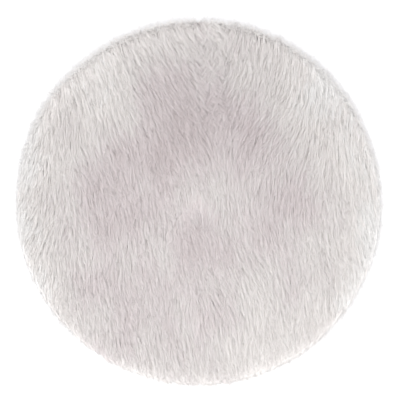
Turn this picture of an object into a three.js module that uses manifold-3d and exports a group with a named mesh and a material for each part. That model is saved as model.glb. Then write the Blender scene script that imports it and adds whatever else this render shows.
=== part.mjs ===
// A round tree skirt of long-pile faux fur, laid flat and closed round the trunk.
//
// One disc of fur cloth has a trunk hole in the middle and one slit from the hole to the hem. The slit runs
// along +Y. The side of the slit at -X is the overlap flap: it folds back about a line from the trunk hole to
// the hem, and closes with hook-and-loop tape on an underlap that is sewn under the other side.
//
// Millimetres, +Z up. The origin is on the trunk hole's axis, at the level of the floor.

import * as THREE from "three";
import { mergeVertices } from "three/addons/utils/BufferGeometryUtils.js";
import Module from "manifold-3d";

const wasm = await Module();
wasm.setup();

// ---- The disc of cloth ----
const CLOTH_DIAMETER = 914; // hem to hem
const TRUNK_HOLE_DIAMETER = 76;
const BACKING_THICKNESS = 1.4; // the knitted ground of the fur cloth
const LINING_THICKNESS = 0.8;
const LAYER_GAP = 0.3; // between cloths that lie on each other

// ---- The pile ----
const PILE_HEIGHT = 28; // combed over, above the backing
const PILE_OVERHANG = 18; // past the hem
const HEM_SHOULDER = 30; // how far inside the hem the pile starts to round down
const HOLE_SHOULDER = 14; // how far outside the trunk hole it starts to round down
const PILE_HEM_CLEARANCE = 1.5; // between the hem's edge and the pile that hangs over it
const MAIN_PILE_SECTORS = 7; // the pile is one field, parted here into convex pieces

// ---- The slit and the overlap flap ----
const SLIT_ANGLE = 90; // from +X, in degrees
const FLAP_ANGLE = 45; // how much of the disc folds back
const CUT_WIDTH = 0.6; // along the fold, and the least that is left at the slit as the flap swings up

// ---- The edges ----
const HEM_WIDTH = 27; // cloth turned under at the rim
const HOLE_FACING_WIDTH = 22;
const FACING_THICKNESS = 0.8;
const SLIT_FACING_WIDTH = 38; // under the flap's side of the slit
const MAIN_SLIT_FACING_WIDTH = 22; // under the other side
const FACING_END_GAP = 2; // between the slit facings and the hem or the hole facing

// ---- The closure ----
const UNDERLAP_REACH = 42; // how far the underlap runs under the flap
const UNDERLAP_SEAM = 20; // the part of it that is sewn to the main side
const UNDERLAP_STEP = 8; // the stretch over which it drops below the flap
const UNDERLAP_THICKNESS = 1;
const UNDERLAP_LIFT = 0.2; // above the floor
const TAPE_PAIRS = 3;
const TAPE_WIDTH = 25;
const TAPE_LENGTH = 60;
const TAPE_THICKNESS = 1;
const TAPE_INSET = 9; // from the slit
const TAPE_END_MARGIN = 14; // between the end tapes and the ends of the underlap

// ---- The care label, sewn flat to the flap's lining beside the hem ----
const LABEL_LENGTH = 42; // round the hem
const LABEL_DEPTH = 28; // towards the trunk
const LABEL_THICKNESS = 0.6;
const LABEL_GAP = 1; // between it and the hem

const ROUND_SEGMENTS = 80;
const CORNER_STEPS = 5;

// ---- Heights, from the floor up ----
const underlapTop = UNDERLAP_LIFT + UNDERLAP_THICKNESS;
const hookBottom = underlapTop + LAYER_GAP;
const loopBottom = hookBottom + TAPE_THICKNESS + LAYER_GAP;
const facingBottom = loopBottom + TAPE_THICKNESS + LAYER_GAP;
const facingTop = facingBottom + FACING_THICKNESS;
const liningBottom = facingTop + LAYER_GAP;
const liningTop = liningBottom + LINING_THICKNESS;
const backingBottom = liningTop + LAYER_GAP;
const backingTop = backingBottom + BACKING_THICKNESS;
const pileBottom = backingTop + LAYER_GAP;
const pileTop = pileBottom + PILE_HEIGHT;

// The fold line lies at this height, so that the flap's cloth comes to rest on top of the pile beside it.
const foldHeight = (pileTop + backingTop + LAYER_GAP) / 2;

const clothRadius = CLOTH_DIAMETER / 2;
const holeRadius = TRUNK_HOLE_DIAMETER / 2;
const hemInnerRadius = clothRadius - HEM_WIDTH;
const foldAngle = SLIT_ANGLE + FLAP_ANGLE;
const beyondAll = clothRadius + PILE_OVERHANG + 10; // further out than any piece

// The flap's inner corner swings out towards the main side before it rises past it, so the slit is this wide.
const flapTurn = THREE.MathUtils.degToRad(FLAP_ANGLE);
const cornerReach = holeRadius * Math.sin(flapTurn);
const cornerSwing = Math.hypot(cornerReach, foldHeight - facingBottom) - cornerReach;
const slitWidth = cornerSwing * Math.cos(flapTurn) + CUT_WIDTH;
const aboveAll = pileTop + 10;

// ---- Materials ----
function fabric(color, roughness) {
  return new THREE.MeshStandardMaterial({ color, roughness, metalness: 0 });
}

const pileFibre = fabric("#ddd7d5", 0.85);
const knittedGround = fabric("#d6d0cc", 0.95);
const liningTwill = fabric("#e6e2dd", 0.8);
const facingTape = fabric("#dcd7d0", 0.85);
const closureTape = fabric("#efece8", 0.75);
const labelSatin = fabric("#f4f2ee", 0.5);

// ---- Solids ----
function solidOf(geometry) {
  const bare = geometry.index ? geometry.toNonIndexed() : geometry.clone();
  bare.deleteAttribute("normal");
  bare.deleteAttribute("uv");
  const merged = mergeVertices(bare, 1e-4);
  return new wasm.Manifold(
    new wasm.Mesh({
      numProp: 3,
      vertProperties: merged.getAttribute("position").array,
      triVerts: new Uint32Array(merged.index.array),
    }),
  );
}

function geometryOf(solid) {
  const mesh = solid.getMesh();
  const geometry = new THREE.BufferGeometry();
  const places = new THREE.BufferAttribute(mesh.vertProperties, mesh.numProp);
  geometry.setAttribute("position", places);
  geometry.setIndex(new THREE.BufferAttribute(mesh.triVerts, 1));
  geometry.computeVertexNormals();
  return geometry;
}

// A full ring round the Z axis. The profile is [radius, height] points, counterclockwise, not yet closed.
function ring(profile) {
  const closed = [...profile, profile[0]];
  const points = closed.map(([radius, height]) => new THREE.Vector2(radius, height));
  const lathe = new THREE.LatheGeometry(points, ROUND_SEGMENTS);
  return solidOf(lathe.rotateX(Math.PI / 2));
}

function bandProfile(inner, outer, bottom, top) {
  return [
    [inner, bottom],
    [outer, bottom],
    [outer, top],
    [inner, top],
  ];
}

// Everything between two angles, in degrees.
function pie(from, to) {
  const start = THREE.MathUtils.degToRad(from);
  const end = THREE.MathUtils.degToRad(to);
  const reach = 2 * beyondAll;
  const shape = new THREE.Shape();
  shape.moveTo(0, 0);
  shape.lineTo(reach * Math.cos(start), reach * Math.sin(start));
  shape.absarc(0, 0, reach, start, end, false);
  shape.closePath();
  const wedge = new THREE.ExtrudeGeometry(shape, {
    depth: aboveAll + 20,
    bevelEnabled: false,
    curveSegments: Math.ceil((to - from) / 10),
  });
  return solidOf(wedge.translate(0, 0, -10));
}

// The gap that is left along a radial cut.
function cut(angle, width = CUT_WIDTH) {
  const slot = new THREE.BoxGeometry(beyondAll, width, aboveAll + 20);
  slot.translate(beyondAll / 2, 0, aboveAll / 2);
  return solidOf(slot.rotateZ(THREE.MathUtils.degToRad(angle)));
}

function sector(profile, from, to) {
  const slitted = ring(profile).subtract(cut(SLIT_ANGLE, slitWidth));
  return slitted.intersect(pie(from, to)).subtract(cut(from)).subtract(cut(to));
}

function onMain(profile) {
  return sector(profile, foldAngle, SLIT_ANGLE + 360);
}

function onFlap(profile) {
  return sector(profile, SLIT_ANGLE, foldAngle);
}

// A quarter of an ellipse as [radius, height] points.
function quarter(centre, across, up, fromAngle, toAngle) {
  return Array.from({ length: CORNER_STEPS + 1 }, (_, i) => {
    const angle = THREE.MathUtils.degToRad(fromAngle + ((toAngle - fromAngle) * i) / CORNER_STEPS);
    return [centre[0] + across * Math.cos(angle), centre[1] + up * Math.sin(angle)];
  });
}

// The pile's section: flat on the backing, rounded at the trunk hole, and hanging over the hem to the floor.
function pileProfile() {
  const overHem = clothRadius + PILE_HEM_CLEARANCE;
  const shoulderReach = HEM_SHOULDER + PILE_OVERHANG;
  const shoulder = quarter([clothRadius - HEM_SHOULDER, pileBottom], shoulderReach, PILE_HEIGHT, 0, 90);
  const holeEdge = holeRadius + PILE_HEM_CLEARANCE;
  const lip = quarter([holeEdge + HOLE_SHOULDER, pileBottom], HOLE_SHOULDER, PILE_HEIGHT, 90, 180);
  return [
    [overHem, pileBottom],
    [overHem, UNDERLAP_LIFT],
    [clothRadius + PILE_OVERHANG * 0.7, UNDERLAP_LIFT],
    ...shoulder,
    ...lip,
  ];
}

// A flat strip beside the slit, between two distances from it and two from the trunk.
function strip(fromX, toX, fromY, toY, bottom, thickness) {
  const box = new THREE.BoxGeometry(Math.abs(toX - fromX), toY - fromY, thickness);
  return box.translate((fromX + toX) / 2, (fromY + toY) / 2, bottom + thickness / 2);
}

// How far along the slit a strip of this half-width can run before it meets the hem.
function reachInside(halfWidth) {
  const flats = Math.cos(Math.PI / ROUND_SEGMENTS); // the hem's inner edge is a polygon
  return Math.sqrt((hemInnerRadius * flats - FACING_END_GAP) ** 2 - halfWidth ** 2);
}

const slitFacingStart = holeRadius + HOLE_FACING_WIDTH + FACING_END_GAP;
const underlapStart = holeRadius + HOLE_FACING_WIDTH / 2;
const underlapEnd = reachInside(UNDERLAP_REACH);

function slitFacing(side, width) {
  const edge = slitWidth / 2;
  return strip(
    side * edge,
    side * width,
    slitFacingStart,
    reachInside(width),
    facingBottom,
    FACING_THICKNESS,
  );
}

// The underlap is sewn under the main side's facing and steps down to pass below the flap.
function underlap() {
  const sewnBottom = facingBottom - LAYER_GAP - UNDERLAP_THICKNESS;
  const half = UNDERLAP_STEP / 2;
  const section = new THREE.Shape(
    [
      [half + UNDERLAP_SEAM, sewnBottom],
      [half + UNDERLAP_SEAM, sewnBottom + UNDERLAP_THICKNESS],
      [half, sewnBottom + UNDERLAP_THICKNESS],
      [-half, underlapTop],
      [-UNDERLAP_REACH, underlapTop],
      [-UNDERLAP_REACH, UNDERLAP_LIFT],
      [-half + UNDERLAP_THICKNESS / 2, UNDERLAP_LIFT],
      [half + UNDERLAP_THICKNESS / 2, sewnBottom],
    ].map(([x, z]) => new THREE.Vector2(x, z)),
  );
  const length = underlapEnd - underlapStart;
  const along = new THREE.ExtrudeGeometry(section, { depth: length, bevelEnabled: false });
  return along.rotateX(Math.PI / 2).translate(0, underlapEnd, 0);
}

// The middle of each tape, evenly spaced along the underlap.
function tapeMiddle(index) {
  const first = underlapStart + TAPE_END_MARGIN + TAPE_LENGTH / 2;
  const last = underlapEnd - TAPE_END_MARGIN - TAPE_LENGTH / 2;
  return first + ((last - first) * index) / (TAPE_PAIRS - 1);
}

function tape(index, bottom) {
  const middle = tapeMiddle(index);
  return strip(
    -TAPE_INSET - TAPE_WIDTH,
    -TAPE_INSET,
    middle - TAPE_LENGTH / 2,
    middle + TAPE_LENGTH / 2,
    bottom,
    TAPE_THICKNESS,
  );
}

function careLabel() {
  const outer = hemInnerRadius * Math.cos(Math.PI / ROUND_SEGMENTS) - LABEL_GAP;
  const label = new THREE.BoxGeometry(LABEL_DEPTH, LABEL_LENGTH, LABEL_THICKNESS);
  const corner = Math.hypot(outer, LABEL_LENGTH / 2) - outer; // keeps its outer corners off the hem
  label.translate(outer - corner - LABEL_DEPTH / 2, 0, facingTop - LABEL_THICKNESS / 2);
  return label.rotateZ(THREE.MathUtils.degToRad(SLIT_ANGLE + FLAP_ANGLE / 2));
}

// ---- Assembly ----
const skirt = new THREE.Group();
const main = new THREE.Group();
const flap = new THREE.Group();
skirt.add(main, flap);

function add(group, name, shape, material) {
  const geometry = shape.isBufferGeometry ? shape : geometryOf(shape);
  const mesh = new THREE.Mesh(geometry, material);
  mesh.name = name;
  group.add(mesh);
}

const backingBand = bandProfile(holeRadius, clothRadius, backingBottom, backingTop);
const liningBand = bandProfile(holeRadius, clothRadius - BACKING_THICKNESS, liningBottom, liningTop);
const hemBand = bandProfile(hemInnerRadius, clothRadius, 0, facingTop);
const holeFacingBand = bandProfile(holeRadius, holeRadius + HOLE_FACING_WIDTH, facingBottom, facingTop);

const mainPileSpan = (360 - FLAP_ANGLE) / MAIN_PILE_SECTORS;
for (let i = 0; i < MAIN_PILE_SECTORS; i++) {
  const from = foldAngle + i * mainPileSpan;
  add(main, `pile_sector_${i + 1}`, sector(pileProfile(), from, from + mainPileSpan), pileFibre);
}
add(main, "backing_main", onMain(backingBand), knittedGround);
add(main, "lining_main", onMain(liningBand), liningTwill);
add(main, "hem_main", onMain(hemBand), knittedGround);
add(main, "hole_facing_main", onMain(holeFacingBand), facingTape);
add(main, "slit_facing_main", slitFacing(1, MAIN_SLIT_FACING_WIDTH), facingTape);
add(main, "underlap", underlap(), liningTwill);

add(flap, "pile_flap", onFlap(pileProfile()), pileFibre);
add(flap, "backing_flap", onFlap(backingBand), knittedGround);
add(flap, "lining_flap", onFlap(liningBand), liningTwill);
add(flap, "hem_flap", onFlap(hemBand), knittedGround);
add(flap, "hole_facing_flap", onFlap(holeFacingBand), facingTape);
add(flap, "slit_facing_flap", slitFacing(-1, SLIT_FACING_WIDTH), facingTape);
add(flap, "care_label", careLabel(), labelSatin);

for (let i = 0; i < TAPE_PAIRS; i++) {
  add(main, `hook_tape_${i + 1}`, tape(i, hookBottom), closureTape);
  add(flap, `loop_tape_${i + 1}`, tape(i, loopBottom), closureTape);
}

export default skirt;
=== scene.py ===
"""A round tree skirt of long-pile faux fur, laid flat and closed: its pile, cloths, tapes and threads."""

import math

import bpy
import numpy as np
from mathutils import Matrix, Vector


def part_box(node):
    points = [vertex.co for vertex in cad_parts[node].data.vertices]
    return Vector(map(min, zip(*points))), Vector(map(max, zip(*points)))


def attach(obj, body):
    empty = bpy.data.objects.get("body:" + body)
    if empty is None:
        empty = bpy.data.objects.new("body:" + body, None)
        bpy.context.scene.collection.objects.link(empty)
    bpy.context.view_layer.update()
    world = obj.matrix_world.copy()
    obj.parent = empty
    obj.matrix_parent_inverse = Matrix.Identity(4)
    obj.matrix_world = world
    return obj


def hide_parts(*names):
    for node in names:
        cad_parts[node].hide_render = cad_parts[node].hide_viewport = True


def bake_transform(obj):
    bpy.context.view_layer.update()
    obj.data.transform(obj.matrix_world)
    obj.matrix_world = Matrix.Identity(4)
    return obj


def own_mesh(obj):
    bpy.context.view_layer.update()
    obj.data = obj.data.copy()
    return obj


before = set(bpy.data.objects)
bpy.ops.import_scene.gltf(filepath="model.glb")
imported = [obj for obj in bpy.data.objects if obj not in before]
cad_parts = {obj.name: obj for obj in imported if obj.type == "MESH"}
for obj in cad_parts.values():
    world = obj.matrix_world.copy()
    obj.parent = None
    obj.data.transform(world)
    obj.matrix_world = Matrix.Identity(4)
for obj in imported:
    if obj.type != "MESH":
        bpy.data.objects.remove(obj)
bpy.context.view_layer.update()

# ---- Sizes, in metres, the same as the model's ----
CLOTH_RADIUS = 0.457
HOLE_RADIUS = 0.038
BACKING_BOTTOM = 0.0063
BACKING_TOP = 0.0077
PILE_TOP = 0.036
HEM_INNER = 0.430
HEM_THREAD_RADIUS = HEM_INNER + 0.0044
HOLE_FACING_RADIUS = 0.060
FACING_BOTTOM = 0.0041
FACING_TOP = 0.0049
LINING_BOTTOM = 0.0052
LINING_TOP = 0.0060
SLIT_HALF = 0.0022
SLIT_FACING_START = 0.062  # from the middle of the trunk hole, as the three below
SLIT_FACING_END = {"main": 0.4264, "flap": 0.4255}
UNDERLAP_START = 0.049
UNDERLAP_END = 0.4257
TAPE_EDGES = (-0.034, -0.009)  # the closure tapes' left and right edges
TAPE_HALF_LENGTH = 0.030
TUFT_EDGES = (-0.0325, -0.0105)  # the hooks and loops stop short of the tape's edges and ends
TUFT_HALF_LENGTH = 0.0285
TAPE_BOTTOM = {"hook": 0.0015, "loop": 0.0028}
TAPE_THICKNESS = 0.001
TAPE_GROUND = 0.00055  # the woven part of that thickness, without its hooks or loops
LABEL_DEGREES = 112.5
LABEL_HALF_WIDTH = 0.014
LABEL_HALF_LENGTH = 0.021
FOLD_DEGREES = 135
FOLD_BEND = 0.020  # half the width of cloth that bends when the flap is folded back
FLAP_OVERHANG = 0.055  # how far the flap's fur reaches past its slit edge
CAMERA_AIM = (0.003, 0.002)  # where the camera stands over, near the skirt's middle
CAMERA_HEIGHT = 2.44

rng = np.random.default_rng(36)


# ---- Camera: straight down, with the slit at the top ----
def put_camera():
    lens = bpy.data.cameras.new("camera")
    lens.lens = 85
    camera = bpy.data.objects.new("camera", lens)
    camera.location = (*CAMERA_AIM, CAMERA_HEIGHT)
    bpy.context.collection.objects.link(camera)
    bpy.context.scene.camera = camera


put_camera()


# ---- Materials ----
def linear(hex_colour):
    """The linear RGBA of an sRGB colour such as #ddd7d5."""
    channels = [int(hex_colour[i : i + 2], 16) / 255 for i in (1, 3, 5)]
    return [c / 12.92 if c <= 0.04045 else ((c + 0.055) / 1.055) ** 2.4 for c in channels] + [1.0]


def add_node(material, kind, settings=None, links=None):
    """A node of this kind, with settings on it or on its inputs, and links from other nodes' outputs."""
    node = material.node_tree.nodes.new(kind)
    for name, value in (settings or {}).items():
        if isinstance(name, int) or name in node.inputs:
            node.inputs[name].default_value = value
        else:
            setattr(node, name, value)
    for name, source in (links or {}).items():
        material.node_tree.links.new(source, node.inputs[name])
    return node


def cloth_material(name, roughness, sheen=0.0, ior=1.5):
    """A material with nothing but its shader, and the shader."""
    material = bpy.data.materials.new(name)
    material.use_nodes = True
    shader = material.node_tree.nodes["Principled BSDF"]
    shader.inputs["Roughness"].default_value = roughness
    shader.inputs["IOR"].default_value = ior
    shader.inputs["Sheen Weight"].default_value = sheen
    return material, shader


def ramp(material, factor, stops):
    """A colour ramp with stops of (place, sRGB hex)."""
    node = add_node(material, "ShaderNodeValToRGB", links={"Fac": factor})
    elements = node.color_ramp.elements
    while len(elements) < len(stops):
        elements.new(0.5)
    for element, (place, colour) in zip(elements, stops):
        element.position = place
        element.color = linear(colour)
    return node.outputs["Color"]


def pile_fibre():
    """Modacrylic pile, sheared long and brushed, each lock a little warmer or cooler than the next, with
    painted shade that makes it darker at the root and clearer towards the tip. Its map holds the lock's tint
    across and root to tip upwards."""
    material, shader = cloth_material("modacrylic_pile", 0.55, sheen=0.15, ior=1.52)
    places = add_node(material, "ShaderNodeUVMap", {"uv_map": "OFBake"})
    parts = add_node(material, "ShaderNodeSeparateXYZ", links={"Vector": places.outputs["UV"]})
    # Painted shade: darker towards the root, where the pile above shades the fibre.
    along = ramp(
        material,
        parts.outputs["Y"],
        [(0.0, "#e8e4e3"), (0.35, "#f4f1f0"), (0.7, "#f9f7f6"), (1.0, "#fbf9f9")],
    )
    tint = ramp(
        material,
        parts.outputs["X"],
        [(0.0, "#eae2e2"), (0.35, "#f4eeee"), (0.6, "#fbf9f7"), (0.85, "#fefbf8"), (1.0, "#fffefc")],
    )
    # The clearest tints, at the rim, drop the painted root shade: painted light, as the fur there is thin
    # enough to be lit down to the root.
    root_shade_share = add_node(
        material,
        "ShaderNodeMapRange",
        {"From Min": 0.65, "From Max": 0.95, "To Min": 1.0, "To Max": 0.1},
        {"Value": parts.outputs["X"]},
    )
    mix = add_node(material, "ShaderNodeMix", {"data_type": "RGBA", "blend_type": "MULTIPLY"})
    links = material.node_tree.links
    links.new(root_shade_share.outputs["Result"], mix.inputs[0])
    links.new(tint, mix.inputs[6])
    links.new(along, mix.inputs[7])
    links.new(mix.outputs[2], shader.inputs["Base Color"])
    return material


def woven(name, base, hollow_shade, pitch, turn, roughness, depth, sheen=0.1, cross=True):
    """A cloth with ribs this far apart and turned this many degrees, crossed by others where it is woven
    both ways. Cloths finer than 2 mm are drawn at 2 mm or more, as coarse as they need to be to show."""
    material, shader = cloth_material(name, roughness, sheen)
    places = add_node(material, "ShaderNodeTexCoord").outputs["Object"]
    turned = add_node(
        material, "ShaderNodeMapping", {"Rotation": (0, 0, math.radians(turn))}, {"Vector": places}
    ).outputs["Vector"]
    # A wave texture makes one rib in 2 * pi / 20 of a unit.
    rib_scale = 2 * math.pi / 20 / pitch
    ribs = add_node(
        material,
        "ShaderNodeTexWave",
        {"Scale": rib_scale, "Distortion": 0.6, "Detail": 1.0, "wave_profile": "SIN"},
        {"Vector": turned},
    )
    weave = ribs.outputs["Fac"]
    if cross:
        weft = add_node(
            material,
            "ShaderNodeTexWave",
            {"Scale": rib_scale * 0.8, "Distortion": 0.6, "bands_direction": "Y"},
            {"Vector": turned},
        )
        weave = add_node(
            material, "ShaderNodeMath", {"operation": "MULTIPLY"}, {0: weave, 1: weft.outputs["Fac"]}
        ).outputs[0]
    cloud = add_node(
        material, "ShaderNodeTexNoise", {"Scale": 14.0, "Detail": 4.0}, {"Vector": places}
    ).outputs["Fac"]
    both = add_node(material, "ShaderNodeMath", {"operation": "MULTIPLY_ADD", 1: 0.7}, {0: cloud})
    material.node_tree.links.new(weave, both.inputs[2])
    # Painted shade: the hollows between the ribs take the darker colour, and the clouds drift the tone.
    colour = ramp(material, both.outputs[0], [(0.15, hollow_shade), (0.95, base)])
    bump = add_node(
        material, "ShaderNodeBump", {"Strength": 0.6, "Distance": depth}, {"Height": weave}
    )
    material.node_tree.links.new(colour, shader.inputs["Base Color"])
    material.node_tree.links.new(bump.outputs["Normal"], shader.inputs["Normal"])
    return material


PILE = pile_fibre()
# Polyester jersey that the pile is knitted into: soft loops in rows, a little fuzzy.
KNIT = woven("jersey_ground", "#d3ccc7", "#b0a8a2", 0.0026, 0, 0.95, 0.0006, sheen=0.3)
# Polyester twill: fine ribs on the slant, dull, with a slight cloudiness.
TWILL = woven("twill_lining", "#ddd8cf", "#b9b2a8", 0.0024, 45, 0.75, 0.0004)
# Cotton tape, woven in ribs across its length.
TAPE = woven("cotton_facing_tape", "#d2ccc3", "#aaa298", 0.0022, 90, 0.85, 0.0005, cross=False)
# Nylon ground of the closure tape: tight, slightly shiny.
NYLON = woven("nylon_closure_tape", "#e6e2dc", "#c4beb6", 0.0020, 0, 0.5, 0.0003)
# Satin ribbon: long floats that catch the light along the ribbon.
SATIN = woven("satin_label_ribbon", "#f2efea", "#d5d0c9", 0.0020, 22.5, 0.35, 0.0002, cross=False)
# Spun polyester thread with a tight twist across its length.
THREAD = woven("spun_thread", "#f4f1ec", "#c9c3bb", 0.0008, 45, 0.6, 0.0002, cross=False)


# ---- Meshes ----
def new_piece(name, points, faces, material, smooth=True):
    """An object of these points and faces, all of one kind of material."""
    mesh = bpy.data.meshes.new(name)
    mesh.from_pydata([tuple(p) for p in points], [], [tuple(f) for f in faces])
    mesh.polygons.foreach_set("use_smooth", np.full(len(mesh.polygons), smooth))
    mesh.materials.append(material)
    mesh.update()
    piece = bpy.data.objects.new(name, mesh)
    bpy.context.collection.objects.link(piece)
    return piece


def tube_faces(rows, columns):
    """Quads over a grid of points whose rows are closed loops, open at both ends."""
    faces = []
    for i in range(rows - 1):
        for j in range(columns):
            k = (j + 1) % columns
            faces.append((i * columns + j, i * columns + k, (i + 1) * columns + k, (i + 1) * columns + j))
    return faces


def cap_faces(loop, flip):
    """Quads across a flat closed loop whose first and second half run side by side."""
    count = len(loop)
    faces = []
    for j in range(count // 2 - 1):
        quad = (loop[j], loop[j + 1], loop[count - 2 - j], loop[count - 1 - j])
        faces.append(quad[::-1] if flip else quad)
    return faces


def swept(name, rows, material):
    """A closed piece through rows of points, each row a closed loop, with flat caps at both ends."""
    rows = np.asarray(rows)
    count, columns = rows.shape[:2]
    sides = tube_faces(count, columns)
    caps = cap_faces(list(range(columns)), True)
    caps += cap_faces(list(range((count - 1) * columns, count * columns)), False)
    piece = new_piece(name, rows.reshape(-1, 3), sides + caps, material)
    for face in list(piece.data.polygons)[len(sides) :]:
        face.use_smooth = False
    return piece


def slab_section(low, high, bottom, top, steps):
    """A flat loop: along the bottom from low to high, and back along the top."""
    there = np.linspace(low, high, steps)
    edge = (top - bottom) * 0.3
    up = np.column_stack([there, np.full(steps, bottom)])
    back = np.column_stack([there[::-1], np.full(steps, top)])
    up[0] += (0, edge)
    up[-1] += (0, edge)
    back[0] -= (0, edge)
    back[-1] -= (0, edge)
    return np.vstack([up, back])


def round_swept(name, section, start, end, material, lift=None, step=1.0):
    """A section of (radius, height) swept round from start to end, in degrees. An end at the slit, 90 or 450,
    stays the slit's half width away from it all the way along."""
    section = np.asarray(section)
    radius, height = section[:, 0], section[:, 1]
    setback = np.degrees(np.arcsin(SLIT_HALF / radius))
    first = start + (setback if start == 90 else 0)
    last = end - (setback if end == 450 else 0)
    rows = []
    for share in np.linspace(0, 1, int((end - start) / step) + 1):
        angle = np.radians(first + (last - first) * share)
        x, y = radius * np.cos(angle), radius * np.sin(angle)
        z = height + (0 if lift is None else lift(x, y))
        rows.append(np.column_stack([x, y, z]))
    return swept(name, rows, material)


def straight_swept(name, section, start, end, material, lift=None, step=0.006):
    """A section of (x, height) swept along the slit from start to end."""
    section = np.asarray(section)
    rows = []
    for y in np.linspace(start, end, max(3, int((end - start) / step))):
        x = section[:, 0]
        z = section[:, 1] + (0 if lift is None else lift(x, np.full(len(x), y)))
        rows.append(np.column_stack([x, np.full(len(x), y), z]))
    return swept(name, rows, material)


def drift(x, y, size, seed, waves=9):
    """Smooth noise of about -1 to 1, with swells of this size."""
    local = np.random.default_rng(seed)
    total = np.zeros(np.shape(x))
    for _ in range(waves):
        angle = local.uniform(0, 2 * math.pi)
        stretch = local.uniform(0.7, 1.5)
        phase = local.uniform(0, 2 * math.pi)
        total += np.sin(
            2 * math.pi * (x * math.cos(angle) + y * math.sin(angle)) / (size * stretch) + phase
        )
    return total / math.sqrt(waves / 2) * 0.6


def across_fold(x, y):
    """The distance from the fold line, towards the flap."""
    angle = math.radians(FOLD_DEGREES - 90)
    return x * math.cos(angle) + y * math.sin(angle)


def join_body(piece, part):
    """The main part rides on the skirt. The flap's part keeps its place, baked into its mesh."""
    if part == "main":
        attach(piece, "skirt")
        return
    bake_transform(piece)


# The cloths are cut here at the slit and at 180 degrees, so that the flap's piece holds the whole fold.
PARTS = {"main": (180, 450), "flap": (90, 180)}


# ---- The flat cloths ----
def field_only(x, y, low=0.075, high=0.415, from_slit=0.055):
    """1 in the open field of the cloth, falling to 0 at its sewn edges."""
    radius = np.hypot(x, y)
    inner = np.clip((radius - low) / 0.05, 0, 1)
    outer = np.clip((high - radius) / 0.05, 0, 1)
    aside = np.where(y > 0, np.clip((np.abs(x) - from_slit) / 0.05, 0, 1), 1)
    return inner * outer * aside


def lining_sag(x, y):
    """The lining hangs a little loose between its seams."""
    return -0.0014 * field_only(x, y) * (0.5 + 0.5 * drift(x, y, 0.09, 5))


def backing_ripple(x, y):
    """The knitted ground is very slightly uneven under the roots of the pile."""
    return -0.0001 * (1 + drift(x, y, 0.06, 8))


def edge_pucker(x, y):
    """Small gathers where the hem's stitches draw the cloth in."""
    angle = np.arctan2(y, x)
    return 0.00025 * (1 + np.sin(angle * 190)) * (0.6 + 0.4 * np.sin(angle * 37))


def big_cloth(name, part, node, section, material, lift):
    """The backing's or the lining's cloth on this part, a sheet that lies on the hem's turning."""
    start, end = PARTS[part]
    cloth = round_swept(f"{name}_{part}", section, start, end, material, lift=lift)
    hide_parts(f"{node}_{part}")
    join_body(cloth, part)


def ring_strip(name, part, node, section, material, lift, step):
    """A narrow strip sewn round the skirt on this part: the hem's turning or the hole's facing."""
    start, end = PARTS[part]
    strip = round_swept(f"{name}_{part}", section, start, end, material, lift=lift, step=step)
    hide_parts(f"{node}_{part}")
    join_body(strip, part)


def lay_cloths():
    backing = slab_section(HOLE_RADIUS, CLOTH_RADIUS, BACKING_BOTTOM, BACKING_TOP, 40)
    lining = slab_section(HOLE_RADIUS + 0.0012, CLOTH_RADIUS - 0.0014, LINING_BOTTOM, LINING_TOP, 60)
    facing = slab_section(HOLE_RADIUS, HOLE_FACING_RADIUS, FACING_BOTTOM, FACING_TOP, 8)
    for part in PARTS:
        big_cloth("fur_backing", part, "backing", backing, KNIT, backing_ripple)
        big_cloth("lining_cloth", part, "lining", lining, TWILL, lining_sag)
        ring_strip("hem_turning", part, "hem", hem_section(), KNIT, edge_pucker, 0.5)
        ring_strip("trunk_hole_facing", part, "hole_facing", facing, TAPE, None, 2.0)


def hem_section():
    """The cloth turned under: a fold at the rim, flattened by its own weight, with a groove at the
    stitches."""
    bend = 0.0022
    outer = [
        (CLOTH_RADIUS - bend + bend * math.cos(a), bend + bend * math.sin(a))
        for a in np.linspace(-math.pi / 2, math.pi / 2, 9)
    ]
    under = [
        (HEM_INNER + 0.0002, 0.0012),
        (HEM_INNER + 0.0016, 0.0002),
        (HEM_INNER + 0.0034, 0.0003),
        (HEM_THREAD_RADIUS, 0.0012),
        (HEM_INNER + 0.0054, 0.0003),
        (HEM_INNER + 0.0080, 0.0),
        (HEM_INNER + 0.0120, 0.0001),
        (HEM_INNER + 0.0180, 0.0),
    ]
    over = [(radius, 0.0043) for radius, _ in under[::-1]]
    return np.array(under + outer + over)


def fold_under(x, y):
    """Slight unevenness of a hand-fed tape."""
    return 0.00012 * drift(x, y, 0.03, 12)


def lay_slit_pieces():
    sides = {"main": (SLIT_HALF, 0.022), "flap": (-0.038, -SLIT_HALF)}
    for part, (low, high) in sides.items():
        facing = straight_swept(
            f"slit_edge_facing_{part}",
            slab_section(low, high, FACING_BOTTOM, FACING_TOP, 6),
            SLIT_FACING_START,
            SLIT_FACING_END[part],
            TAPE,
            lift=fold_under,
        )
        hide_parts(f"slit_facing_{part}")
        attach(facing, "skirt" if part == "main" else "opening_flap")
    # The underlap: sewn up under the facing at one side, then down to the floor and flat past the slit.
    down = [(0.024, 0.0028), (0.0115, 0.0028), (0.0045, 0.0027), (-0.0035, 0.0002), (-0.012, 0.0002)]
    down += [(-0.022, 0.0002), (-0.032, 0.0002), (-0.0412, 0.0003), (-0.042, 0.0005)]
    up = [(x - (0.0006 if abs(x) < 0.005 else 0), z + 0.0010) for x, z in down[::-1]]
    up[0] = (-0.042, 0.0011)
    outline = down[::-1] + up[::-1]
    underlap = straight_swept("underlap_strip", outline, UNDERLAP_START, UNDERLAP_END, TWILL)
    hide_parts("underlap")
    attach(underlap, "skirt")


# ---- The hook-and-loop tapes ----
def tape_middles():
    """The middle of each tape along the slit, from the model's own tapes."""
    middles = []
    for i in range(3):
        low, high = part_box(f"loop_tape_{i + 1}")
        middles.append((low[1] + high[1]) / 2)
    return middles


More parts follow.
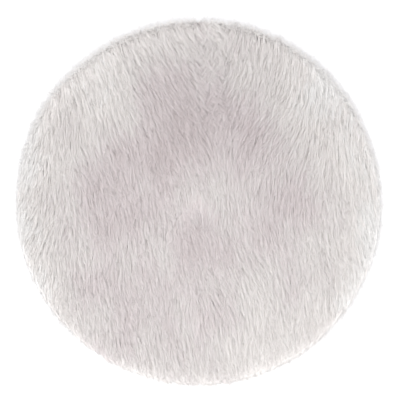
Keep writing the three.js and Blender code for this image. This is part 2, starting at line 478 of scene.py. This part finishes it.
def tufts(base, height, lean, reach, width):
    """Little tapered hooks or loops that stand on base points, each a bent three-sided spike."""
    count = len(base)
    turn = rng.uniform(0, 2 * math.pi, count)
    aim = np.column_stack([np.cos(turn), np.sin(turn), np.zeros(count)])
    side = np.column_stack([-np.sin(turn), np.cos(turn), np.zeros(count)])
    up = np.array([0, 0, height])
    knee = base + up * 0.7 + aim * lean
    tip = base + up * 1.0 + aim * (lean + reach)
    points = np.stack(
        [
            base + side * width,
            base - side * width,
            base + aim * width * 1.6,
            knee + side * width * 0.8,
            knee - side * width * 0.8,
            knee + aim * width * 1.3,
            tip,
        ],
        axis=1,
    ).reshape(-1, 3)
    one = [(0, 1, 4), (0, 4, 3), (1, 2, 5), (1, 5, 4), (2, 0, 3), (2, 3, 5), (3, 4, 6), (4, 5, 6), (5, 3, 6)]
    one.append((2, 1, 0))
    starts = np.arange(count) * 7
    faces = (np.array(one)[None] + starts[:, None, None]).reshape(-1, 3)
    return points, faces


def lay_tapes():
    """The hook tapes stand on the underlap with their hooks up, the loop tapes hang over them."""
    left, right = TAPE_EDGES
    for i, middle in enumerate(tape_middles(), 1):
        for kind, up in (("hook", 1), ("loop", -1)):
            name = f"{kind}_tape_{i}"
            bottom = TAPE_BOTTOM[kind]
            top = bottom + TAPE_THICKNESS
            ground = (bottom, bottom + TAPE_GROUND) if up > 0 else (top - TAPE_GROUND, top)
            tape = straight_swept(
                f"{name}_strip",
                slab_section(left, right, ground[0], ground[1], 8),
                middle - TAPE_HALF_LENGTH,
                middle + TAPE_HALF_LENGTH,
                NYLON,
                step=0.003,
            )
            pitch = 0.0014 if kind == "hook" else 0.0011
            xs, ys = np.meshgrid(
                np.arange(*TUFT_EDGES, pitch),
                np.arange(middle - TUFT_HALF_LENGTH, middle + TUFT_HALF_LENGTH, pitch),
            )
            roots = np.column_stack([xs.ravel(), ys.ravel(), np.zeros(xs.size)])
            roots[:, :2] += rng.normal(0, pitch * 0.12, (xs.size, 2))
            roots[:, 2] = ground[1] - 0.0001 if up > 0 else ground[0] + 0.0001
            width = 0.00016 if kind == "hook" else 0.0001
            points, faces = tufts(roots, 0.0005 * up, 0.0002, 0.0003, width)
            if up < 0:
                faces = faces[:, ::-1]
            pile = new_piece(f"{name}_{kind}s", points, faces, NYLON)
            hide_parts(name)
            for piece in (tape, pile):
                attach(piece, "skirt" if kind == "hook" else "opening_flap")


# ---- Threads ----
def sew(name, path, width=0.0009, stitch=0.0032, gap=0.0012, part="main"):
    """A row of machine stitches along a path of points, each a short plump spindle. The part says what it
    goes with: main, flap (its place baked into its mesh) or rider (it rides on the flap and stays straight)."""
    path = np.asarray(path, float)
    lengths = np.concatenate([[0], np.cumsum(np.linalg.norm(np.diff(path, axis=0), axis=1))])
    starts = np.arange(gap, lengths[-1] - stitch, stitch + gap)
    shares = np.array([0.0, 0.15, 0.5, 0.85, 1.0])
    plump = np.array([0.35, 0.85, 1.0, 0.85, 0.35]) * width / 2
    points = []
    faces = []
    sides = 5
    for start in starts:
        at = start + stitch * shares
        line = np.column_stack([np.interp(at, lengths, path[:, k]) for k in range(3)])
        ahead = line[-1] - line[0]
        ahead /= np.linalg.norm(ahead)
        beside = np.cross(ahead, (0, 0, 1))
        beside /= np.linalg.norm(beside)
        first = len(points)
        for spot, half in zip(line, plump):
            for k in range(sides):
                turn = 2 * math.pi * k / sides
                up = np.array([0, 0, 0.7 * half * math.sin(turn)])
                points.append(spot + beside * half * math.cos(turn) + up)
        for row in range(4):
            for k in range(sides):
                a, b = first + row * sides + k, first + row * sides + (k + 1) % sides
                faces.append((a, a + sides, b + sides, b))
        faces.append(tuple(first + k for k in range(sides)))
        faces.append(tuple(first + 4 * sides + k for k in range(sides))[::-1])
    piece = new_piece(name, points, faces, THREAD)
    if part == "rider":
        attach(piece, "opening_flap")
    else:
        join_body(piece, part)


def arc_path(radius, height, start, end):
    """Points round the skirt at this radius, which stop 2 mm short of the slit's edges."""
    margin = math.degrees((SLIT_HALF + 0.002) / radius)
    angles = np.radians(np.linspace(start + margin, end - margin, 400))
    return np.column_stack([radius * np.cos(angles), radius * np.sin(angles), np.full(400, height)])


def slit_path(x, height, start=0.052, end=0.423, steps=60):
    """Points beside the slit, from near the trunk hole to the hem."""
    return [(x, y, height) for y in np.linspace(start, end, steps)]


def lay_threads():
    under_facing = FACING_BOTTOM - 0.0001
    under_underlap = 0.0027
    for part, (start, end) in PARTS.items():
        sew(f"hem_stitches_{part}", arc_path(HEM_THREAD_RADIUS, 0.0011, start, end), part=part)
        sew(f"hole_stitches_{part}", arc_path(0.057, under_facing, start, end), part=part)
        sew(f"hole_edge_stitches_{part}", arc_path(0.0405, under_facing, start, end), part=part)
    sew("slit_stitches_main", slit_path(0.0195, under_underlap, 0.064))
    sew("slit_stitches_flap", slit_path(-0.0355, under_facing, 0.064), part="rider")
    sew("slit_edge_stitches_flap", slit_path(-0.0048, under_facing, 0.064), part="rider")
    sew("underlap_edge_stitches", slit_path(-0.0395, 0.00125))
    for i, middle in enumerate(tape_middles(), 1):
        for kind, height, part in (("hook", 0.0021, "main"), ("loop", 0.0032, "rider")):
            for edge, x in (("left", -0.0333), ("right", -0.0098)):
                path = slit_path(x, height, middle - 0.029, middle + 0.029, 12)
                sew(f"{kind}_tape_{i}_{edge}_stitches", path, 0.0007, 0.0024, 0.001, part)


# ---- The care label: a blank satin ribbon, bowed a little between its two stitched ends ----
def lay_label():
    low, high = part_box("care_label")
    centre = (low + high) / 2
    angle = math.radians(LABEL_DEGREES)
    outward = np.array([math.cos(angle), math.sin(angle), 0])
    along = np.array([-math.sin(angle), math.cos(angle), 0])
    rows = []
    middle = np.array([centre[0], centre[1], 0])
    for share in np.linspace(-1, 1, 15):
        bow = 0.0003 * (1 - share**2)
        section = slab_section(
            -LABEL_HALF_WIDTH, LABEL_HALF_WIDTH, high[2] - 0.0005 - bow, high[2] - bow, 7
        )
        across = along * share * LABEL_HALF_LENGTH
        rows.append([middle + outward * s[0] + across + (0, 0, s[1]) for s in section])
    label = swept("care_label_ribbon", np.array(rows)[::-1], SATIN)
    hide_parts("care_label")
    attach(label, "opening_flap")
    for end, share in (("left", -0.0185), ("right", 0.0185)):
        path = [
            np.array([centre[0], centre[1], high[2] - 0.0007]) + outward * s + along * share
            for s in np.linspace(-0.0125, 0.0125, 9)
        ]
        sew(f"care_label_{end}_stitches", path, 0.0006, 0.002, 0.0009, "rider")


# ---- The pile ----
def bump_at(x, y, middle, size):
    """1 at the middle, falling smoothly to 0 over a few times this size."""
    return np.exp(-((x - middle[0]) ** 2 + (y - middle[1]) ** 2) / size**2)


def smooth(value, low, high):
    """0 below low, 1 above high, and an even rise between them."""
    share = np.clip((value - low) / (high - low), 0, 1)
    return share * share * (3 - 2 * share)


def comb_angle(x, y):
    """Which way the pile is combed: degrees from -Y, positive towards +X."""
    u, v = x / CLOTH_RADIUS, y / CLOTH_RADIUS
    lean = np.full(np.shape(u), 11.0)
    lean -= 27 * smooth(-u, 0.62, 0.92) * smooth(v, -0.85, -0.3)
    lean += 6 * bump_at(u, v, (-0.5, 0.55), 0.35)
    lean -= 38 * bump_at(u, v, (0.50, 0.40), 0.28)
    lean -= 12 * bump_at(u, v, (0.72, -0.60), 0.22)
    lean += 8 * bump_at(u, v, (0.15, -0.25), 0.25)
    lean -= 6 * bump_at(u, v, (-0.20, -0.25), 0.25)
    lean += 5 * drift(u, v, 0.60, 21) + 4 * drift(u, v, 0.26, 22)
    # The locks of the two sides close over the slit, most of all near the hem, the flap's over the others.
    from_meeting = u - 0.07
    nearness = np.exp(-np.abs(from_meeting) / 0.26) * smooth(v, 0.12, 0.70)
    lean -= np.sign(from_meeting) * 44 * nearness
    # They close over the trunk hole as well.
    ring = np.exp(-((np.hypot(x, y) - 0.045) ** 2) / 0.020**2)
    lean -= 16 * ring * np.clip(x / 0.045, -1, 1) * (y > -0.02)
    return lean


def pile_shell(x, y):
    """The height of the pile's top above the backing: full in the field, rounding down past the hem."""
    radius = np.hypot(x, y)
    past = np.clip((radius - (CLOTH_RADIUS - 0.034)) / 0.066, 0, 0.985)
    return (PILE_TOP - BACKING_TOP) * np.sqrt(1 - past**2)


def lock_roots(spacing):
    """Where the locks stand: a jittered grid over the cloth, clear of the trunk hole and the hem."""
    across = np.arange(-CLOTH_RADIUS, CLOTH_RADIUS, spacing)
    x, y = np.meshgrid(across, np.arange(-CLOTH_RADIUS, CLOTH_RADIUS, spacing * 0.87))
    x = x + (np.arange(len(y)) % 2)[:, None] * spacing / 2
    x = x.ravel() + rng.normal(0, spacing * 0.24, x.size)
    y = y.ravel() + rng.normal(0, spacing * 0.24, y.size)
    radius = np.hypot(x, y)
    keep = (radius > HOLE_RADIUS + 0.002) & (radius < CLOTH_RADIUS - 0.003)
    return x[keep], y[keep]


# Where the pile is darker (strength below 0) or clearer, as (place, size, strength). Places and sizes are in
# shares of the cloth's radius.
TONE_PATCHES = (
    ((-0.02, 0.52), 0.38, -0.34),
    ((-0.32, 0.40), 0.24, -0.20),
    ((0.42, 0.40), 0.18, -0.12),
    ((-0.52, 0.02), 0.22, -0.26),
    ((0.45, 0.00), 0.16, -0.20),
    ((0.10, -0.18), 0.16, -0.18),
    ((-0.42, -0.64), 0.28, -0.15),
    ((-0.22, -0.40), 0.18, -0.14),
    ((0.05, 0.20), 0.16, 0.17),
    ((0.60, 0.62), 0.26, 0.22),
    ((-0.60, 0.66), 0.22, 0.18),
    ((0.55, -0.60), 0.28, 0.16),
)


def tone(x, y):
    """The slow drift of the pile's tone over the cloth: greyer in patches, and painted lighter at the rim and
    the sides, painted light for the thin fur there.
    """
    u, v = x / CLOTH_RADIUS, y / CLOTH_RADIUS
    # rim and sides are painted light: the pile is painted lighter towards the hem and the sides.
    rim = smooth(np.hypot(u, v), 0.55, 1.0)
    sides = smooth(np.abs(u), 0.72, 0.98)
    patches = np.zeros(np.shape(u))
    for place, size, strength in TONE_PATCHES:
        patches += strength * bump_at(u, v, place, size)
    clouds = 0.09 * drift(x, y, 0.20, 31) + 0.07 * drift(x, y, 0.10, 32)
    return 0.52 + clouds + 0.16 * rim + 0.28 * sides + patches


def lock_table(x, y, length, rise, sway, spread, wild, angle=None):
    """One row for each lock: where it stands, which way it lies (as combed, if no angle is given), and how
    it waves, gathers and is tinted. Rise is how far up the pile it reaches, sway the depth of its waves,
    spread its half width at the root and wild the degrees by which it strays."""
    angle = comb_angle(x, y) if angle is None else angle
    count = len(x)
    vary = rng.uniform
    return {
        "x": x,
        "y": y,
        "angle": np.radians(angle + rng.normal(0, 0.8 * wild, count)),
        "turn": np.radians(rng.normal(0, 1.7 * wild, count)),
        "length": length * vary(0.82, 1.12, count),
        "rise": vary(*rise, count),
        "sway": vary(*sway, count),
        "swing": vary(0.045, 0.070, count),
        "phase": vary(0, 2 * math.pi, count),
        "tint": np.clip(tone(x, y) + rng.normal(0, 0.05, count), 0.02, 0.98),
        "spread": vary(*spread, count),
    }


def over_hole(x, y):
    """1 for the locks beside and behind the trunk hole, which are long enough to close over it."""
    return smooth(-np.hypot(x, y), -0.075, -0.050) * (y > -0.005)


def top_locks():
    """The long locks that lie uppermost, each seen for half its length."""
    x, y = lock_roots(0.0126)
    length = 0.078 * (1 + 0.30 * over_hole(x, y))
    return lock_table(x, y, length, (0.82, 1.00), (0.0002, 0.0012), (0.0034, 0.0052), 2.2)


def closing_locks():
    """The longest locks, which stand beside and behind the trunk hole and close over it to its far edge."""
    count = 460
    longest = 0.125
    around = np.radians(rng.uniform(-15, 195, count))
    radius = rng.uniform(HOLE_RADIUS + 0.002, HOLE_RADIUS + 0.020, count)
    x, y = radius * np.cos(around), radius * np.sin(around)
    aim_x, aim_y = 0.004 + 0.45 * x, rng.uniform(-0.098, -0.048, count)
    angle = np.degrees(np.arctan2(aim_x - x, y - aim_y))
    length = np.minimum(np.hypot(aim_x - x, aim_y - y), longest)
    table = lock_table(x, y, length, (0.62, 0.98), (0.0002, 0.0010), (0.0028, 0.0044), 3.0, angle)
    # The closing locks are painted darker: painted shade over the trunk hole they cover.
    table["tint"] = table["tint"] - 0.18
    return table


def back_hem_locks():
    """More locks just inside the back hem, where the pile is combed inwards and nothing lies over it."""
    count = 420
    around = np.radians(rng.uniform(15, 165, count))
    radius = CLOTH_RADIUS - rng.uniform(0.003, 0.024, count)
    x, y = radius * np.cos(around), radius * np.sin(around)
    return lock_table(x, y, 0.050, (0.45, 0.85), (0.0002, 0.0010), (0.0034, 0.0052), 3.0)


def front_edge_locks():
    """Locks rooted just past the trunk hole's front edge, over the tips where the closing locks meet."""
    count = 64
    x, y = rng.uniform(-0.028, 0.024, count), rng.uniform(-0.074, -0.044, count)
    return lock_table(x, y, 0.060, (0.74, 1.00), (0.0002, 0.0010), (0.0030, 0.0048), 2.8)


def guard_locks():
    """The combed locks below the top ones, with those that close over the trunk hole and fill the back
    hem."""
    x, y = lock_roots(0.0094)
    length = 0.060 * (1 + 0.30 * over_hole(x, y))
    field = lock_table(x, y, length, (0.62, 0.88), (0.0002, 0.0010), (0.0030, 0.0048), 2.8)
    tables = (field, closing_locks(), back_hem_locks(), front_edge_locks())
    return {key: np.concatenate([table[key] for table in tables]) for key in field}


def under_locks():
    """The short dense wool under them, which fills the field and takes the light down to the cloth."""
    x, y = lock_roots(0.0104)
    length = 0.042 * (1 + 0.9 * over_hole(x, y))
    table = lock_table(x, y, length, (0.52, 0.80), (0.0002, 0.0008), (0.0062, 0.0080), 5)
    # The wool is painted lighter: painted light that lifts the shade in the gaps between the locks above.
    table["tint"] = np.clip(table["tint"] + 0.12, 0, 1)
    return table


# Where the outline swells or draws in, as (degrees round from +X, half width in degrees, share of length).
RIM_SWELLS = ((312, 26, 0.40), (144, 14, 0.28), (212, 18, 0.26), (20, 11, -0.30))


def outline_swell(x, y):
    """How much longer the locks are at each place round the rim, as a fur skirt is never quite round."""
    around = np.degrees(np.arctan2(y, x))
    swell = np.ones(len(x))
    for middle, width, share in RIM_SWELLS:
        away = (around - middle + 180) % 360 - 180
        swell += share * np.exp(-((away / width) ** 2))
    return swell


def rim_rows(rows, back_length, front_length, follow):
    """Where rows of rim locks stand, how long they are and which way they hang. Rows are (distance in from
    the rim, spacing, share): that share of the way they hang follows the comb instead of pointing straight
    out, and follow adds to it towards the front."""
    xs, ys, lengths, angles = [], [], [], []
    for inset, every, share in rows:
        radius = CLOTH_RADIUS - inset
        count = int(2 * math.pi * radius / every)
        around = np.linspace(0, 2 * math.pi, count, endpoint=False) + rng.normal(0, 0.004, count)
        x, y = radius * np.cos(around), radius * np.sin(around)
        outward = np.degrees(np.arctan2(x, -y))  # 0 points along -Y, as the comb angle does
        part = share + follow * np.cos(np.radians(outward) / 2) ** 2
        xs.append(x)
        ys.append(y)
        angles.append(outward * (1 - part) + comb_angle(x, y) * part)
        length = back_length + (front_length - back_length) * smooth(-y, -CLOTH_RADIUS, 0.0)
        lengths.append(length * outline_swell(x, y))
    return [np.concatenate(column) for column in (xs, ys, lengths, angles)]


def rim_locks():
    """The locks that stand at the hem and hang outwards over it: short at the back, long at the front."""
    rows = [(0.003, 0.0054, 0.1), (0.008, 0.0058, 0.5), (0.014, 0.0056, 0.9)]
    x, y, length, angle = rim_rows(rows, 0.022, 0.027, 0.10)
    length = length * (0.35 + 1.05 * rng.uniform(0, 1, len(x)) ** 1.3)
    table = lock_table(x, y, length, (0.45, 0.90), (0.0002, 0.0009), (0.0034, 0.0050), 8, angle)
    # The rim locks are painted lighter: painted light that lifts the shade on their steep hanging sides.
    table["tint"] = 0.5 + 0.5 * table["tint"]
    return table


def wisp_locks():
    """Single fine tips past the rim, thinning out to nothing."""
    rows = [(0.002, 0.0017, 0.1), (0.009, 0.0020, 0.3), (0.016, 0.0024, 0.3)]
    x, y, length, angle = rim_rows(rows, 0.034, 0.040, 0.30)
    length = length * rng.uniform(0.25, 1.48, len(x))
    table = lock_table(x, y, length, (0.30, 0.95), (0.0002, 0.0012), (0.0030, 0.0060), 14, angle)
    # The wisps are painted at the clearest tint, bright down to the root: painted light for thin tips lit
    # against the floor.
    table["tint"] = np.full(len(x), 0.97)
    return table


STRAY_SHARE = 0.07  # of the fibres, those that leave their lock
RIDGE_DROP = 0.20  # how much lower a lock's edge lies than its middle
BACK_SWELL = 0.016  # how far the pile swells out over the back hem


def strands_of(locks, each, along, thick, gather, curl):
    """The fibre bundles of these locks: their centre lines, half widths and tints. along is where on a
    bundle its sections are set, from root to tip, gather how far a lock draws together by its tip, and curl
    how much of its reach is lost past the hem."""
    per = {key: np.repeat(value, each)[:, None] for key, value in locks.items()}
    total = len(locks["x"]) * each
    t = np.array(along)[None, :]
    offset_turn = rng.uniform(0, 2 * math.pi, (total, 1))
    lock_edge = per["spread"] * 1.25
    offset_size = np.sqrt(rng.uniform(0, 1, (total, 1))) * lock_edge
    aside0 = offset_size * np.cos(offset_turn)
    along0 = offset_size * np.sin(offset_turn)
    stray = (rng.uniform(0, 1, (total, 1)) < STRAY_SHARE) * rng.normal(0, 1, (total, 1))
    length = per["length"] * rng.uniform(0.80, 1.10, (total, 1))
    bend = per["turn"] + 0.18 * stray + 0.04 * rng.normal(0, 1, (total, 1))
    heading = per["angle"] + bend * t
    advance = length * (t**1.10) * 0.94
    wave = per["sway"] * t * np.sin(2 * math.pi * length * t / per["swing"] + per["phase"])
    aside = aside0 * (1 - gather * t**1.3) + wave + 0.003 * stray * t
    forward = along0 * (1 - 0.5 * t) + advance
    x = per["x"] + forward * np.sin(heading) + aside * np.cos(heading)
    y = per["y"] - forward * np.cos(heading) + aside * np.sin(heading)
    # At the back, where the pile is combed in from the hem, it first swells out over it.
    root_radius = np.hypot(per["x"], per["y"])
    out_x, out_y = per["x"] / root_radius, per["y"] / root_radius
    inward = np.clip(-(np.sin(per["angle"]) * out_x - np.cos(per["angle"]) * out_y), 0, 1)
    near_hem = smooth(root_radius, CLOTH_RADIUS - 0.045, CLOTH_RADIUS - 0.004)
    swell = BACK_SWELL * inward * near_hem * np.sin(math.pi * t**0.8) * rng.uniform(0.6, 1.2, (total, 1))
    x = x + out_x * swell
    y = y + out_y * swell
    # In front, the tips curl under instead of standing straight out.
    radius = np.hypot(x, y)
    edge = CLOTH_RADIUS + 0.006
    reach = np.where(radius > edge, edge + (radius - edge) * (1 - curl), radius)
    x *= reach / radius
    y *= reach / radius
    # Each lock is a ridge: its middle fibres lie highest.
    ridge = 1 - RIDGE_DROP * (np.abs(aside0) / lock_edge) ** 2
    rise = per["rise"] * ridge * rng.uniform(0.84, 1.0, (total, 1))
    climb = 1 - (1 - t) ** 2.1 - 0.04 * t**3
    z = BACKING_TOP - 0.0003 + rise * climb * pile_shell(x, y)
    # Past the hem the tips hang to just above the floor.
    hang = smooth(np.hypot(x, y), CLOTH_RADIUS + 0.001, CLOTH_RADIUS + 0.020)
    floor = 0.0012 + 0.0045 * rng.uniform(0, 1, (total, 1))
    z = z * (1 - hang) + np.minimum(z, floor + rise * 0.011 * (1 - t)) * hang
    # Roots stay on the cloth, and on their own side of the slit.
    root = np.hypot(x[:, 0], y[:, 0])
    hold = np.clip(1, (HOLE_RADIUS + 0.001) / root, (CLOTH_RADIUS - 0.0012) / root)
    x[:, 0] *= hold
    y[:, 0] *= hold
    side = np.where(per["x"][:, 0] >= 0, 1, -1)
    at_slit = (side * x[:, 0] < SLIT_HALF + 0.0006) & (y[:, 0] > 0) & (np.abs(x[:, 0]) < 0.02)
    x[:, 0] = np.where(at_slit, side * (SLIT_HALF + 0.0006), x[:, 0])
    taper = np.sin(math.pi * np.clip(0.28 + 0.62 * t, 0, 0.9)) * (t < 1)
    half = thick * taper * rng.uniform(0.75, 1.25, (total, 1))
    tint = np.clip(per["tint"] + rng.normal(0, 0.03, (total, 1)), 0.01, 0.99)[:, 0]
    return np.stack([x, y, z], axis=2), half, tint


def strand_mesh(name, lines, half, tint, along):
    """One mesh of closed three-sided bundles along these lines, tapering to a point."""
    count, stations = half.shape
    rings = stations - 1
    ahead = np.gradient(lines, axis=1)
    ahead /= np.linalg.norm(ahead, axis=2, keepdims=True) + 1e-12
    beside = np.cross(ahead, np.array([0.0, 0.0, 1.0]))
    beside /= np.linalg.norm(beside, axis=2, keepdims=True) + 1e-9
    over = np.cross(beside, ahead)
    turn = rng.uniform(0, 2 * math.pi, (count, 1, 1))
    corners = []
    for k in range(3):
        angle = turn + 2 * math.pi * k / 3
        corners.append(lines + half[:, :, None] * (np.cos(angle) * beside + np.sin(angle) * over))
    sections = np.stack(corners, axis=2)[:, :rings].reshape(count, 3 * rings, 3)
    points = np.concatenate([sections, lines[:, rings:]], axis=1).reshape(-1, 3)
    one = [(2, 1, 0)]
    for row in range(rings - 1):
        for k in range(3):
            a, b = 3 * row + k, 3 * row + (k + 1) % 3
            one += [(a, b, b + 3), (a, b + 3, a + 3)]
    last = 3 * (rings - 1)
    one += [(last + k, last + (k + 1) % 3, last + 3) for k in range(3)]
    one = np.array(one)
    faces = (one[None] + (np.arange(count) * (3 * rings + 1))[:, None, None]).reshape(-1)
    up = np.concatenate([np.repeat(along[:rings], 3), [1.0]])
    mesh = bpy.data.meshes.new(name)
    mesh.vertices.add(len(points))
    mesh.vertices.foreach_set("co", points.astype(np.float32).ravel())
    mesh.loops.add(len(faces))
    mesh.loops.foreach_set("vertex_index", faces.astype(np.int32))
    mesh.polygons.add(len(faces) // 3)
    mesh.polygons.foreach_set("loop_start", np.arange(0, len(faces), 3, dtype=np.int32))
    mesh.polygons.foreach_set("use_smooth", np.ones(len(faces) // 3, dtype=bool))
    places = mesh.uv_layers.new(name="OFBake")
    uv = np.empty((count, len(one) * 3, 2), np.float32)
    uv[:, :, 0] = tint[:, None]
    uv[:, :, 1] = (0.02 + 0.96 * up)[one.ravel()][None, :]
    places.data.foreach_set("uv", uv.ravel())
    mesh.materials.append(PILE)
    mesh.update(calc_edges=True)
    piece = bpy.data.objects.new(name, mesh)
    bpy.context.collection.objects.link(piece)
    return piece


# Where a bundle's sections are set, from root to tip.
LONG = (0.0, 0.30, 0.58, 0.82, 1.0)
SHORT = (0.0, 0.40, 0.75, 1.0)
SECTORS = 8  # of the pile, counted round from the fold; the last is the flap's
FLAP_SECTOR = SECTORS - 1


def lay_pile():
    """Each coat is made whole, then shared out to the pieces by where its fibres are rooted."""
    # Name, locks, fibre bundles to a lock, their sections, half width, gathering and curl.
    coats = (
        ("top", top_locks(), 13, LONG, 0.00050, 0.38, 0.66),
        ("guard", guard_locks(), 6, LONG, 0.00056, 0.55, 0.66),
        ("wool", under_locks(), 7, SHORT, 0.00100, 0.30, 0.66),
        ("fringe", rim_locks(), 5, SHORT, 0.00042, 0.35, 0.45),
        ("wisps", wisp_locks(), 2, SHORT, 0.00022, 0.20, 0.10),
    )
    for coat, locks, each, along, thick, gather, curl in coats:
        lines, half, tint = strands_of(locks, each, along, thick, gather, curl)
        root = lines[:, 0]
        degrees = np.degrees(np.arctan2(root[:, 1], root[:, 0])) % 360
        sector = np.floor(((degrees - FOLD_DEGREES) % 360) / (360 / SECTORS)).astype(int)
        # The flap's fur reaches past its slit edge, so the fur at the start of sector 1 goes into sector 0's
        # pieces too.
        sector[(sector == 1) & (root[:, 1] > -FLAP_OVERHANG)] = 0
        # Every fibre that reaches into the fold goes with it, wherever it is rooted.
        across = across_fold(lines[:, :, 0], lines[:, :, 1])
        reaches = (across.min(axis=1) < FOLD_BEND + 0.004) & (across.max(axis=1) > -FOLD_BEND - 0.010)
        bending = reaches & (degrees > 90) & (degrees < 225)
        for k in range(SECTORS):
            mine = (sector == k) & ~bending
            is_flap = k == FLAP_SECTOR
            where = "flap" if is_flap else str(k + 1)
            piece = strand_mesh(f"fur_{coat}_{where}", lines[mine], half[mine], tint[mine], along)
            if coat == "top":
                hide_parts("pile_flap" if is_flap else f"pile_sector_{k + 1}")
            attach(piece, "opening_flap" if is_flap else "skirt")
            if k == 0 or is_flap:
                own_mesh(piece)
        fold = strand_mesh(f"fur_{coat}_fold", lines[bending], half[bending], tint[bending], along)
        join_body(fold, "flap")


# ---- Floor and light ----
def lay_floor():
    """A matt white sweep, which shows nothing but the skirt's own soft shadow."""
    material, shader = cloth_material("white_sweep", 0.9)
    shader.inputs["Base Color"].default_value = linear("#ffffff")
    mesh = bpy.data.meshes.new("floor")
    mesh.from_pydata([(-6, -6, 0), (6, -6, 0), (6, 6, 0), (-6, 6, 0)], [], [(0, 1, 2, 3)])
    mesh.materials.append(material)
    floor = bpy.data.objects.new("floor", mesh)
    floor.location.z = -0.0003
    bpy.context.collection.objects.link(floor)


def area_light(name, place, size, power):
    lamp = bpy.data.lights.new(name, "AREA")
    lamp.shape = "DISK"
    lamp.size = size
    lamp.energy = power
    light = bpy.data.objects.new(name, lamp)
    light.location = place
    light.rotation_mode = "QUATERNION"
    light.rotation_quaternion = (-Vector(place)).to_track_quat("-Z", "Y")
    bpy.context.collection.objects.link(light)


def light_studio():
    """An even white sky, with a soft box in front and a weaker one above the back left."""
    world = bpy.data.worlds.new("studio")
    bpy.context.scene.world = world
    world.use_nodes = True
    sky = world.node_tree.nodes["Background"]
    sky.inputs["Color"].default_value = linear("#fbfbfe")
    sky.inputs["Strength"].default_value = 0.98
    area_light("front_soft_box", (0.3, -2.4, 2.2), 1.6, 52)
    area_light("top_soft_box", (-1.0, 1.2, 2.6), 2.0, 22)
    bpy.context.scene.view_settings.view_transform = "Standard"


lay_cloths()
lay_slit_pieces()
lay_tapes()
lay_threads()
lay_label()
lay_pile()
lay_floor()
light_studio()
